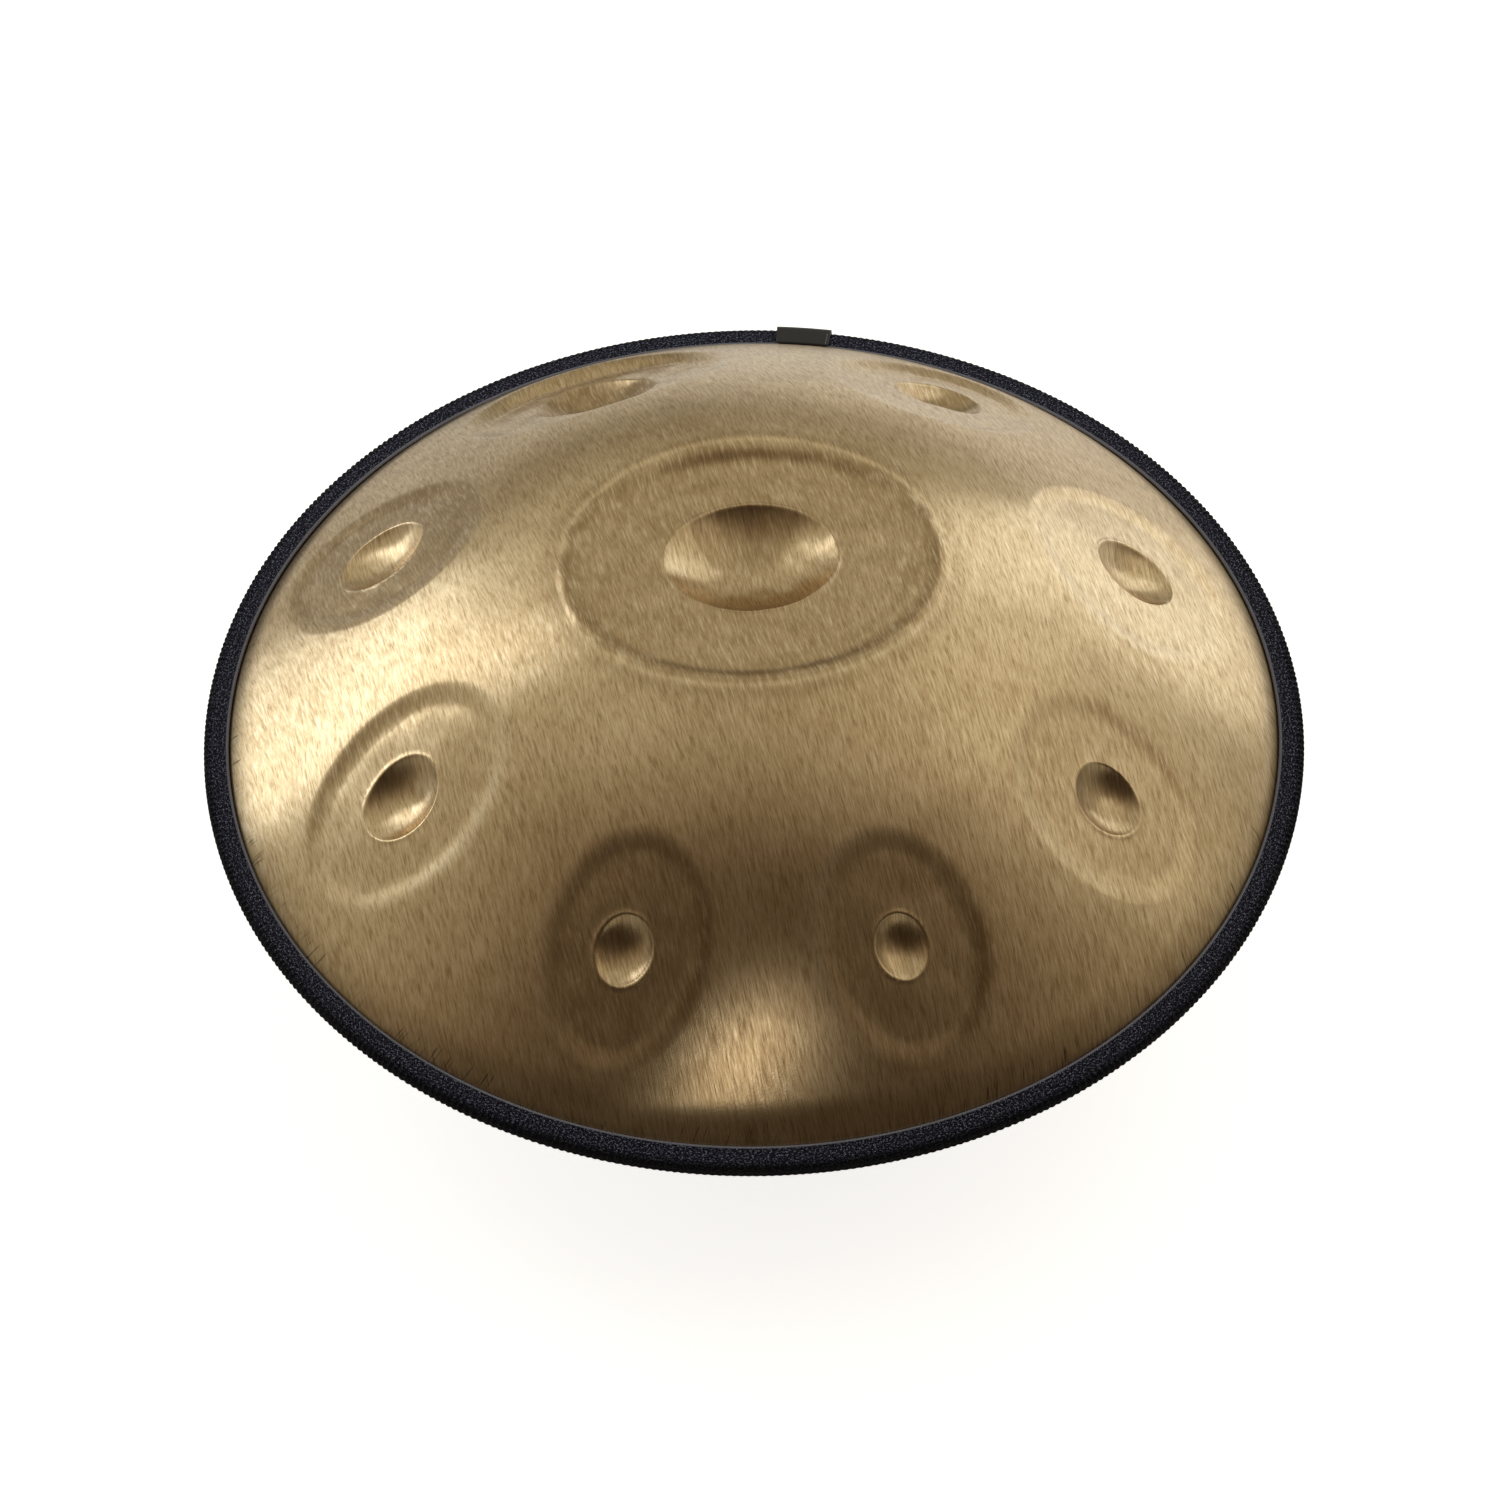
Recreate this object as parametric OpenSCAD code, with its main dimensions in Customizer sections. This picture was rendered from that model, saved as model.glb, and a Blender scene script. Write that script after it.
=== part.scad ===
// Handpan: two pressed steel half shells glued flange to flange, a rubber edge trim and a
// woven tape round the rim, and a small loop tag sewn over the tape.
// Origin: centre of the ring it rests on, +Z up, -Y towards the player.

/* [Rim] */
// Outside radius of the finished rim
rim_r = 278; // [274:0.5:282]
// Thickness of the woven tape
tape_t = 1.5; // [1.2:0.1:1.7]
// Wall of the rubber edge trim under the tape
trim_t = 1.3; // [1:0.1:1.4]
// Width of the tape on each face of the rim
tape_w = 12.8; // [12.4:0.1:13]
// Thickness of the glue line between the two flanges
glue_t = 0.4; // [0.2:0.1:0.6]

/* [Shell] */
// Sheet thickness of both steel shells
sheet_t = 1.2; // [1:0.1:1.4]
// Radius of the spherical crown
crown_r = 290; // [286:1:296]
// Radius of the side's long arc
side_r = 1000; // [900:50:1200]
// Slope where the side meets the shoulder, in degrees
side_a = 41; // [40:0.5:42]
// Slope of the shell just above its foot, in degrees
foot_a = 55; // [52:1:57]
// Radius of the shoulder between side and foot
shoulder_r = 74; // [66:1:80]
// Radius where the shell passes the top of the tape
throat_r = 263.6; // [262.6:0.2:264]
// Outside radius of the bend into the flange
foot_bend = 4; // [3.5:0.5:4.5]

/* [Centre note] */
// Height of the centre note's flat above the rim's middle plane
ding_z = 121.5; // [120:0.5:123]
// Half length and half width of the centre note's flat
ding_flat = [95, 77]; // [70:0.5:96]
// Half length and half width of the centre dimple
ding_dimple = [43.8, 36.2]; // [34:0.1:46]
// Depth of the centre dimple
ding_deep = 14; // [10:0.5:15]
// Turn of the centre note from the X axis, in degrees
ding_turn = 5; // [0:1:10]

/* [Ring notes, left side, near to far] */
// Direction of each note, in degrees from +X
left_turn = [252, 210, 161.5, 114]; // [100:0.5:260]
// Radius of each dimple's centre
left_seat = [201, 198, 198, 204]; // [195:0.5:210]
// Half length of each note's flat, along the radius
left_long = [52, 62, 63, 58]; // [50:0.5:64]
// Half width of each note's flat, across the radius
left_wide = [38, 46, 48, 62]; // [36:0.5:64]
// Half length of each dimple, along the radius
left_dimple = [17.3, 23.1, 26.6, 39.5]; // [14:0.1:40]

/* [Ring notes, right side, near to far] */
// Direction of each note, in degrees from +X
right_turn = [-70, -31, 13, 61]; // [-80:0.5:80]
// Radius of each dimple's centre
right_seat = [202, 200, 200, 206]; // [195:0.5:210]
// Half length of each note's flat, along the radius
right_long = [50, 57, 60, 60]; // [48:0.5:62]
// Half width of each note's flat, across the radius
right_wide = [37, 42, 54, 52]; // [36:0.5:56]
// Half length of each dimple, along the radius
right_dimple = [15.6, 20, 24.1, 28.3]; // [14:0.1:40]

/* [Port] */
// Radius of the sound port in the bottom shell
port_r = 52; // [45:1:56]
// Length of the neck that turns up inside the port
neck_len = 45; // [30:1:60]
// Outside radius of the flat ring round the port
land_r = 68; // [64:1:72]
// Outside radius of the bend into the neck
neck_bend = 4; // [3:0.5:5]

/* [Tag] */
// Direction of the tag, in degrees from +X
tag_turn = 83.7; // [0:0.1:360]
// Length of the tag along the rim
tag_w = 30; // [24:1:36]
// How far the tag stands out from the tape
tag_proud = 2.4; // [1.5:0.1:3]
// Thickness of the tag's ribbon
tag_t = 0.9; // [0.6:0.1:1.2]

/* [Hidden] */

$fn = 180;
small_fn = 48;
dome_fn = 60;           // facets round the pressed top shell
top_fine = 2;           // steps along its curves
bottom_fine = 4;        // steps along the bottom shell's curves
flat_fn = 28;           // facets round the tool that presses a note's flat
bowl_fn = 20;           // facets round the tool that presses a dimple
steel = "#a8926a";
gap = 0.05;             // air left between soft pieces and what they wrap
dimple_aspect = 0.83;   // a dimple's width over its length
dimple_depth = 0.43;    // a ring dimple's depth over its half width
bowl_centre = 1.5;      // height of a dimple's centre over its rim, in depths
inward = 2.5;           // a ring note's flat sits this much nearer the middle than its dimple
wall_a = 24;            // slope of the wall round a note's flat, in degrees
tool_h = 24;            // height of the tools that press the flats, clear of the dome
press_depth = 1;        // depth of a ring note's flat below the dome's own sag
flatness = 0.8;         // how much of the dome's cross curve a ring note's flat loses
foot_run = 0.8;         // straight run of the shell above the top of the tape, along the radius
glue_edge = 0.5;        // how far the glue line stops short of the flanges' edges
trim_clear = 0.6;       // air between the edge trim's lips and the bend into the flange
trim_corner = 1;        // outside radius of the edge trim's corners
fold_r = 3;             // outside radius of the tape's fold round the rim
tag_lift = 0.6;         // how far the tag's ribbon stands off the tape's faces
tag_edge = 1.2;         // straight height of the tag's outer face on each side of the middle

flange_r = rim_r - tape_t - trim_t - 2 * gap;
flange_top = glue_t / 2 + sheet_t;
trim_top = flange_top + gap + trim_t;
tape_in = trim_top + gap;
tape_top = tape_in + tape_t;
tape_inner_r = rim_r - tape_w;
tag_r = rim_r + tag_proud;
tag_top = tape_top + gap + tag_t + tag_lift;

// The outside line of a half shell, as [radius, height over the rim's middle plane]
foot_line = [throat_r, tape_top];
foot_corner = [foot_line.x + (foot_line.y - flange_top) / tan(foot_a), flange_top];
bend_run = foot_bend * tan(foot_a / 2);
bend_top = foot_corner + bend_run * [-cos(foot_a), sin(foot_a)];
bend_end = foot_corner + [bend_run, 0];
bend_centre = bend_end + [0, foot_bend];
shoulder_end = foot_line + foot_run * [-1, tan(foot_a)];
shoulder_centre = shoulder_end - shoulder_r * [sin(foot_a), cos(foot_a)];
side_centre = shoulder_centre + (shoulder_r - side_r) * [sin(side_a), cos(side_a)];
crown_a = asin(-side_centre.x / (side_r - crown_r));
crown_centre = [0, side_centre.y + (side_r - crown_r) * cos(crown_a)];

function crown_z(r) = crown_centre.y + sqrt(crown_r * crown_r - r * r);
function side_z(r) = side_centre.y + sqrt(pow(side_r, 2) - pow(r - side_centre.x, 2));
function side_slope(r) = asin((r - side_centre.x) / side_r);

rim_z = crown_z(land_r);    // height of the rim's middle plane over the ring it rests on

// Depth of a note's flat below the dome, so that its sides run out into the dome
function flat_depth(r, wide) = press_depth + flatness * pow(wide, 2) * sin(crown_a) / (2 * r);

// Every ring note as [direction, dimple radius, half length, half width, dimple half length]
notes = [for (i = [0 : 3]) each [
    [left_turn[i], left_seat[i], left_long[i], left_wide[i], left_dimple[i]],
    [right_turn[i], right_seat[i], right_long[i], right_wide[i], right_dimple[i]]]];

// Points on an arc, from one slope angle to another; angles are measured from +Y towards +X
function arc(centre, r, from, to, steps) =
    [for (i = [0 : steps]) let (a = from + (to - from) * i / steps)
        centre + r * [sin(a), cos(a)]];

// The shell's line at depth t in the sheet, from slope angle open_a out to the flange;
// each arc has a multiple of fine steps
function shell_line(t, open_a, fine) = concat(
    arc(crown_centre, crown_r - t, open_a, crown_a, 4 * fine),
    arc(side_centre, side_r - t, crown_a, side_a, fine),
    arc(shoulder_centre, shoulder_r - t, side_a, foot_a, 2 * fine),
    arc(bend_centre, foot_bend + t, 180 + foot_a, 180, 2 * fine),
    [[flange_r, flange_top - t]]);

function backwards(points) = [for (i = [len(points) - 1 : -1 : 0]) points[i]];
function mirrored(points) = [for (p = points) [p.x, -p.y]];

// Half section of the sheet between its outside and inside lines
module sheet_section(outside, inside) {
    polygon(concat(outside, backwards(inside)));
}

// Everything under the shell's outside line, as a solid section
module filled_section(fine) {
    polygon(concat([[0, flange_top - sheet_t]], shell_line(0, 0, fine),
                   [[flange_r, flange_top - sheet_t]]));
}

// Places children on the dome at a note: x down the slope, z out of the surface
module at_note(turn, r) {
    rotate(turn) translate([r, 0, side_z(r)]) rotate([0, side_slope(r), 0]) children();
}

// Oval tool with a flat floor at z = 0 and sloping walls
module flat_tool(long, wide) {
    thin = 0.01;
    hull() for (s = [[0, 0], [tool_h / tan(wall_a), tool_h]])
        translate([0, 0, s[1]])
            scale([long + s[0], wide + s[0], 1]) cylinder(h = thin, r = 1, $fn = flat_fn);
}

// Oval bowl whose mouth of half size [long, wide] is at z = 0; grow thickens it
module bowl_tool(long, wide, deep, grow) {
    tall = (1 + bowl_centre) * deep;
    spread = 1 / sqrt(1 - pow(bowl_centre / (1 + bowl_centre), 2));
    translate([0, 0, bowl_centre * deep])
        scale([long * spread + grow, wide * spread + grow, tall + grow])
            sphere(r = 1, $fn = bowl_fn);
}

// All the pressing tools of the top shell; grow = 0 is the outside of the sheet
module press_tools(grow) {
    translate([0, 0, ding_z]) rotate(ding_turn) {
        translate([0, 0, -grow]) flat_tool(ding_flat[0], ding_flat[1]);
        bowl_tool(ding_dimple[0], ding_dimple[1], ding_deep, grow);
    }
    for (n = notes) {
        centre_r = n[1] - inward;
        floor_z = -flat_depth(centre_r, n[3]);
        dimple_w = n[4] * dimple_aspect;
        at_note(n[0], centre_r) translate([0, 0, floor_z]) {
            translate([0, 0, -grow]) flat_tool(n[2], n[3]);
            translate([inward / cos(side_slope(n[1])), 0, 0])
                bowl_tool(n[4], dimple_w, dimple_depth * dimple_w, grow);
        }
    }
}

module top_shell() {
    $fn = dome_fn;
    color(steel) translate([0, 0, rim_z]) difference() {
        union() {
            rotate_extrude()
                sheet_section(shell_line(0, 0, top_fine), shell_line(sheet_t, 0, top_fine));
            intersection() {
                rotate_extrude() filled_section(top_fine);
                press_tools(sheet_t);
            }
        }
        press_tools(0);
    }
}

// The port's line at depth t in the sheet: up the neck, round its bend, then the flat ring
function port_line(t) = concat(
    [[port_r + t, rim_z - neck_len]],
    arc([port_r + neck_bend, rim_z - neck_bend], neck_bend - t, -90, 0, 6));

// Slope angle at which the crown's line at depth t meets the flat ring
function port_angle(t) = acos((rim_z - t - crown_centre.y) / (crown_r - t));

module bottom_shell() {
    color(steel) translate([0, 0, rim_z]) mirror([0, 0, 1]) rotate_extrude()
        sheet_section(concat(port_line(0), shell_line(0, port_angle(0), bottom_fine)),
                      concat(port_line(sheet_t),
                             shell_line(sheet_t, port_angle(sheet_t), bottom_fine)));
}

module rim_adhesive() {
    color("#d8d2b0") translate([0, 0, rim_z - glue_t / 2]) difference() {
        cylinder(h = glue_t, r = flange_r - glue_edge);
        translate([0, 0, -1]) cylinder(h = glue_t + 2, r = bend_end.x + glue_edge);
    }
}

// Rounded half section that reaches out to radius r and half height h
module edge_section(inner_r, r, h, corner) {
    translate([inner_r, -h]) square([r - corner - inner_r, 2 * h]);
    translate([inner_r, corner - h]) square([r - inner_r, 2 * (h - corner)]);
    for (side = [-1, 1])
        translate([r - corner, side * (h - corner)]) circle(corner, $fn = small_fn);
}

module rim_edge_trim() {
    trim_in = bend_end.x + trim_clear;
    slot_h = flange_top + gap;
    color("#1c1c1e") translate([0, 0, rim_z]) rotate_extrude() difference() {
        edge_section(trim_in, flange_r + gap + trim_t, trim_top, trim_corner);
        translate([trim_in - 1, -slot_h]) square([flange_r + gap - trim_in + 1, 2 * slot_h]);
    }
}

module rim_tape() {
    selvedge = tape_t / 2;
    roll = [tape_inner_r + selvedge, tape_in + selvedge];
    fold = [rim_r - fold_r, tape_top - fold_r];
    outer_half = concat(arc(roll, selvedge, -180, 0, 8), arc(fold, fold_r, 0, 90, 6));
    inner_half = arc(fold, fold_r - tape_t, 90, 0, 4);
    color("#23232b") translate([0, 0, rim_z]) rotate_extrude()
        polygon(concat(outer_half, mirrored(backwards(outer_half)),
                       mirrored(backwards(inner_half)), inner_half));
}

module loop_tag() {
    span = tag_w / tag_r * 180 / PI;
    corner = tag_top - tag_edge;
    color("#101014") translate([0, 0, rim_z]) rotate(tag_turn - span / 2)
        rotate_extrude(angle = span) difference() {
            edge_section(tape_inner_r, tag_r, tag_top, corner);
            edge_section(tape_inner_r - 1, tag_r - tag_t, tag_top - tag_t, corner - tag_t);
        }
}

module loop_tag_stitches() {
    thread_r = 0.28;
    pitch = 2.1;
    stitch_l = 1.5;
    inset = 1.6;
    first_r = tape_inner_r + 1;
    last_r = rim_r - 4;
    turn = tag_turn - (tag_w / 2 - inset) / tag_r * 180 / PI;
    color("#8f8f98") translate([0, 0, rim_z]) rotate(turn)
        for (side = [-1, 1], r = [first_r : pitch : last_r])
            translate([r, 0, side * (tag_top + thread_r)]) rotate([0, 90, 0])
                cylinder(h = stitch_l, r = thread_r, $fn = small_fn);
}

top_shell();
bottom_shell();
rim_adhesive();
rim_edge_trim();
rim_tape();
loop_tag();
loop_tag_stitches();
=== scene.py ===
"""The looks of the handpan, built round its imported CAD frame. Lengths are in millimetres until
they go into a mesh; heights in the shell's own formulas are over the rim's middle plane."""
import math

import bmesh
import bpy
import numpy as np
from mathutils import Matrix, Vector


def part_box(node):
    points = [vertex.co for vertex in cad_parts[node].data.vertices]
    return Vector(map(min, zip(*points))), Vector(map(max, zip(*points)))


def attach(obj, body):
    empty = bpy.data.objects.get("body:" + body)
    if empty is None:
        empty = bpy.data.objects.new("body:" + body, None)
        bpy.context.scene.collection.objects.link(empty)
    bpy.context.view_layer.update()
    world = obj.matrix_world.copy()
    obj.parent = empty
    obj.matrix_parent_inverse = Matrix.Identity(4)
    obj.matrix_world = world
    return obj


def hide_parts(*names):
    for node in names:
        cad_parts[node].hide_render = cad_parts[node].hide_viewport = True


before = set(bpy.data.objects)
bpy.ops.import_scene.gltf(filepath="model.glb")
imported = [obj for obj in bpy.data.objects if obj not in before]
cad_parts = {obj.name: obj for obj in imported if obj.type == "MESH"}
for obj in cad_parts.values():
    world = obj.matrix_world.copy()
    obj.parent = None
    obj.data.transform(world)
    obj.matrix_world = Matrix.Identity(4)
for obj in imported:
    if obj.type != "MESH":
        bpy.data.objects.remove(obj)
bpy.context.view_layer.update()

MM = 0.001

tape_low, tape_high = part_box("rim_tape")
RIM_R = (tape_high.x - tape_low.x) / 2 / MM
TAPE_TOP = (tape_high.z - tape_low.z) / 2 / MM
RIM_Z = (tape_high.z + tape_low.z) / 2 / MM

# ---------------------------------------------------------------- the shell's outside line

# Both shells follow one line: a crown, a long side arc, a tighter shoulder, a straight foot, a
# bend and a flange. The foot passes THROAT_R at the tape's top; _A is a slope from level.
SHEET = 1.2
CROWN_R = 290.0
SIDE_R = 1000.0
SIDE_A = math.radians(41)
SHOULDER_R = 74.0
FOOT_A = math.radians(55)
FOOT_RUN = 0.8
THROAT_R = 263.6
BEND_R = 4.0
FLANGE_TOP = 1.4
FLANGE_R = 275.1


def arc_centre(r, z, radius, slope):
    """Centre of an arc that passes the point r, z with that slope."""
    return r - radius * math.sin(slope), z - radius * math.cos(slope)


corner_r = THROAT_R + (TAPE_TOP - FLANGE_TOP) / math.tan(FOOT_A)
bend_run = BEND_R * math.tan(FOOT_A / 2)
BEND_START = corner_r - bend_run * math.cos(FOOT_A)
BEND_END = corner_r + bend_run
SHOULDER_END = THROAT_R - FOOT_RUN
FOOT_Z = TAPE_TOP + FOOT_RUN * math.tan(FOOT_A)
SHOULDER_AT = arc_centre(SHOULDER_END, FOOT_Z, SHOULDER_R, FOOT_A)
SIDE_END = SHOULDER_AT[0] + SHOULDER_R * math.sin(SIDE_A)
SIDE_AT = arc_centre(SIDE_END, SHOULDER_AT[1] + SHOULDER_R * math.cos(SIDE_A), SIDE_R, SIDE_A)
crown_a = math.asin(-SIDE_AT[0] / (SIDE_R - CROWN_R))
CROWN_END = CROWN_R * math.sin(crown_a)
CROWN_AT = (0.0, SIDE_AT[1] + (SIDE_R - CROWN_R) * math.cos(crown_a))


def dome(r):
    """Height and slope angle of the plain shell at radius r, an array."""
    where = [r < CROWN_END, r < SIDE_END, r < SHOULDER_END, r < BEND_START, r < BEND_END]
    arcs = [(CROWN_AT, CROWN_R), (SIDE_AT, SIDE_R), (SHOULDER_AT, SHOULDER_R)]
    slopes = [np.arcsin(np.clip((r - at[0]) / radius, -1, 1)) for at, radius in arcs]
    heights = [at[1] + radius * np.cos(a) for (at, radius), a in zip(arcs, slopes)]
    bend = np.arcsin(np.clip((BEND_END - r) / BEND_R, 0, 1))
    slope = np.select(where, [*slopes, np.full_like(r, FOOT_A), bend], 0.0)
    height = np.select(where, [*heights, FOOT_Z + (SHOULDER_END - r) * math.tan(FOOT_A),
                               FLANGE_TOP + BEND_R * (1 - np.cos(bend))], FLANGE_TOP)
    return height, slope


# ---------------------------------------------------------------- the notes

# The centre note, or ding, has a level floor at DING_Z: its turn, the half length and half width
# of its field, how much nearer the player the field lies than the dimple, the dimple's half
# length and half width, its depth, and the height of the lip round it
DING_Z = 121.5
DING = dict(turn=5.3, long=99, wide=82.5, nearer=4.5, dimple=(43.8, 36.2), deep=14.0,
            lip=0.35)

# Ring notes: direction from +X in degrees, radius of the dimple's centre, half length and half
# width of the field, half length and half width of the dimple, inward shift of the field, how
# much of the dome's cross curve the field's floor loses, the height of the step at its sides,
# how dented its floor is, the painted shade on its floor (painted highlight where negative), the
# side of its edge that gets painted shade, in degrees, with painted highlight on the other side,
# and how strong the painted shade on that edge and in the dimple is
RING = [
    dict(turn=-108.1, seat=201.2, long=60, wide=43, dimple=(17.0, 13.8), inward=1,
         flat=0.5, step=0.55, dents=0.25, painted_light_and_tint=0.42, dark=-10, edge=0.7, bowl=0.35),
    dict(turn=-70.2, seat=202.2, long=59, wide=44, dimple=(15.6, 12.5), inward=0,
         flat=0.5, step=0.55, dents=0.25, painted_light_and_tint=0.15, dark=-10, edge=0.9, bowl=0.35),
    dict(turn=-150.1, seat=197.8, long=66, wide=50, dimple=(23.1, 18.7), inward=2,
         flat=0.12, step=1.8, dents=0.3, painted_light_and_tint=0.05, dark=135, edge=0.8, bowl=0.0),
    dict(turn=-31.2, seat=200.2, long=60, wide=46, dimple=(19.9, 16.2), inward=1,
         flat=0.12, step=1.8, dents=0.25, painted_light_and_tint=0.05, dark=60, edge=0.7, bowl=0.3),
    dict(turn=161.7, seat=198.2, long=68, wide=52, dimple=(26.6, 22.5), inward=1,
         flat=0.3, step=1.6, dents=0.35, painted_light_and_tint=0.5, dark=60, edge=0.4, bowl=0.0),
    dict(turn=13.1, seat=200.1, long=65, wide=60, dimple=(24.1, 20.7), inward=3,
         flat=0.3, step=1.4, dents=0.2, painted_light_and_tint=-0.1, dark=80, edge=0.35, bowl=0.0),
    dict(turn=113.9, seat=204.0, long=68, wide=74, dimple=(39.5, 32.4), inward=3,
         flat=0.9, step=2.6, dents=0.75, painted_light_and_tint=-0.05, dark=100, edge=0.4, bowl=0.65),
    dict(turn=60.9, seat=206.0, long=70, wide=57, dimple=(28.3, 23.7), inward=8,
         flat=0.8, step=2.4, dents=0.6, painted_light_and_tint=-0.1, dark=60, edge=0.2, bowl=0.5),
]

# Run of a field's wall from the dome to its floor, and the share of the step left at its ends
WALL = 14.0
DING_WALL = 18.0
END_SHARE = 0.6
# Dimples: depth over half width, and the height of their arc's centre over their depth. The lip
# round one: height, how far outside the dimple's edge its top lies, and half width
BOWL_DEPTH = 0.43
BOWL_CENTRE = 1.5
LIP = 0.15
LIP_OUT = 0.9
LIP_W = 1.0
# Blends, in height, between a floor and the dome and between a dimple and its floor
FLOOR_BLEND = 1.0
DIMPLE_BLEND = 0.6
DING_FLOOR_BLEND = 0.5
DING_DIMPLE_BLEND = 0.8
# The rings round the centre note: height, length of a wave, how far inside the edge they end
# and the run over which they fade
RIPPLE = 0.34
RIPPLE_LONG = 10.0
RIPPLE_END = 32.0
RIPPLE_FADE = 20.0
# How strong the centre note's dents are, and the distances over which dents set in
DING_DENTS = 0.8
DING_DENTS_IN = 5.0
DENTS_IN = 20.0
# A note is worked out up to MARGIN outside its field's edge. Points lower than SIDE_DROP under
# its seat are on another side of the dome.
MARGIN = 10.0
DING_MARGIN = 20.0
SIDE_DROP = -60.0
# Keeps the distance to an oval's edge finite at its centre, and a share at a field's centre
FLATTEST_OVAL = 0.3
CENTRE_SHARE = 0.01


def smooth_step(x):
    x = np.clip(x, 0, 1)
    return x * x * (3 - 2 * x)


def smooth_max(a, b, k):
    h = np.clip(0.5 + (a - b) / (2 * k), 0, 1)
    return a * h + b * (1 - h) + k * h * (1 - h)


def oval(x, y, long, wide):
    """How far inside an oval the points are, negative outside."""
    f = np.sqrt((x / long) ** 2 + (y / wide) ** 2) + 1e-6
    steep = np.sqrt((x / long**2) ** 2 + (y / wide**2) ** 2) / f
    return (1 - f) / np.maximum(steep, FLATTEST_OVAL / max(long, wide))


def bowl(x, y, long, wide, deep):
    """Depth of a dimple below its mouth, which is negative outside it."""
    f = np.sqrt((x / long) ** 2 + (y / wide) ** 2)
    k = 1 - (BOWL_CENTRE / (1 + BOWL_CENTRE)) ** 2
    inside = (1 + BOWL_CENTRE) * np.sqrt(np.maximum(1 - k * np.minimum(f, 1) ** 2, 0)) - BOWL_CENTRE
    edge_slope = k * (1 + BOWL_CENTRE) ** 2 / BOWL_CENTRE
    return deep * (inside - edge_slope * np.maximum(f - 1, 0))


def lip(x, y, note):
    """Height of the thin raised lip round a dimple."""
    out = oval(x, y, *note["dimple"]) + LIP_OUT
    return note.get("lip", LIP) * np.exp(-(out / LIP_W) ** 2)


# Each wave has a height, a length and a direction in degrees. Its front sways by SWAY radians
# once in SWAY_LONG of its lengths, and each wave starts PHASE radians after the one before.
DENT_WAVES = [(0.16, 31, 20), (0.14, 24, 75), (0.12, 19, 140), (0.10, 27, 110), (0.08, 14, 40)]
SWAY = 0.9
SWAY_LONG = 2.3
PHASE = 1.7


def dents(points):
    """Low uneven waves of a hammered floor."""
    total = np.zeros(len(points))
    for k, (height, length, direction) in enumerate(DENT_WAVES):
        turn = math.radians(direction)
        way = points[:, 0] * math.cos(turn) + points[:, 1] * math.sin(turn)
        across = points[:, 1] * math.cos(turn) - points[:, 0] * math.sin(turn)
        sway = SWAY * np.sin(across * 2 * math.pi / (SWAY_LONG * length) + k)
        total += height * np.sin(way * 2 * math.pi / length + sway + PHASE * k)
    return total


def in_ding(x, y):
    """Plan points in the centre note's own axes, and how far inside its field they are."""
    c, s = math.cos(math.radians(DING["turn"])), math.sin(math.radians(DING["turn"]))
    u, v = c * x + s * y, c * y - s * x
    return u, v, oval(u, v + DING["nearer"], DING["long"], DING["wide"])


def in_note(points, note):
    """Points as seen from a note's seat: down the slope, along the rim, out of the surface, and
    how far inside its field they are."""
    turn = math.radians(note["turn"])
    height, slope = (float(v[0]) for v in dome(np.array([note["seat"]])))
    out = np.array([math.cos(turn), math.sin(turn), 0])
    along = np.array([-math.sin(turn), math.cos(turn), 0])
    rise = np.array([0, 0, 1.0])
    down = out * math.cos(slope) - rise * math.sin(slope)
    up = out * math.sin(slope) + rise * math.cos(slope)
    from_seat = points - out * note["seat"] - rise * height
    x, y, h = from_seat @ down, from_seat @ along, from_seat @ up
    return x, y, h, oval(x + note["inward"], y, note["long"], note["wide"])


def pressed(points, normals):
    """Depth of the notes and dimples under the plain dome at points on it."""
    x, y, inside = in_ding(points[:, 0], points[:, 1])
    floor = (points[:, 2] - DING_Z) / normals[:, 2]
    ripple = RIPPLE * np.sin(inside * 2 * math.pi / RIPPLE_LONG)
    ripple *= smooth_step((RIPPLE_END - inside) / RIPPLE_FADE)
    field = smooth_max(floor, 0 * floor, DING_FLOOR_BLEND) * smooth_step(inside / DING_WALL)
    field += (ripple + DING_DENTS * dents(points)) * smooth_step(inside / DING_DENTS_IN)
    dent = bowl(x, y, *DING["dimple"], DING["deep"])
    dent = smooth_max(dent, 0 * dent, DING_DIMPLE_BLEND) - lip(x, y, DING)
    depth = np.where(inside > -DING_MARGIN, field + dent, 0)
    for note in RING:
        x, y, h, inside = in_note(points, note)
        sag = note["wide"] ** 2 * math.sin(crown_a) / (2 * note["seat"])
        lengthwise, sideways = (x / note["long"]) ** 2, (y / note["wide"]) ** 2
        endwise = lengthwise / (lengthwise + sideways + CENTRE_SHARE)
        step = note["step"] * (1 + (END_SHARE - 1) * endwise)
        floor = step + note["flat"] * smooth_max(h + sag, 0 * h, FLOOR_BLEND)
        floor += note["dents"] * dents(points) * smooth_step(inside / DENTS_IN)
        dent = bowl(x, y, *note["dimple"], BOWL_DEPTH * note["dimple"][1])
        dent = smooth_max(dent, 0 * dent, DIMPLE_BLEND) - lip(x, y, note)
        near = (inside > -MARGIN) & (h > SIDE_DROP)
        depth += np.where(near, floor * smooth_step(inside / WALL) + dent, 0)
    return depth


# Rings of painted shade round the centre note, painted highlight where negative: strength, how far
# inside its edge, and half width
DING_SHADE_BANDS = [(0.35, 9, 4), (-0.5, 3, 1.6), (0.3, -2, 3)]
# How brown a tint the centre note's floor gets, the run over which that sets in, the part of that
# run outside the edge, and the share that the dimple loses
DING_BROWN = 0.4
DING_BROWN_IN = 8.0
DING_BROWN_OUT = 0.3
DIMPLE_CLEAR = 0.9
# The painted shade on the far half of the centre dimple: strength, half width, how much nearer
# the player than the dimple's centre it starts, and the run to full strength
PATCH_SHADE = 0.55
PATCH_W = 20.0
PATCH_FROM = 6.0
PATCH_RUN = 20.0
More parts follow.
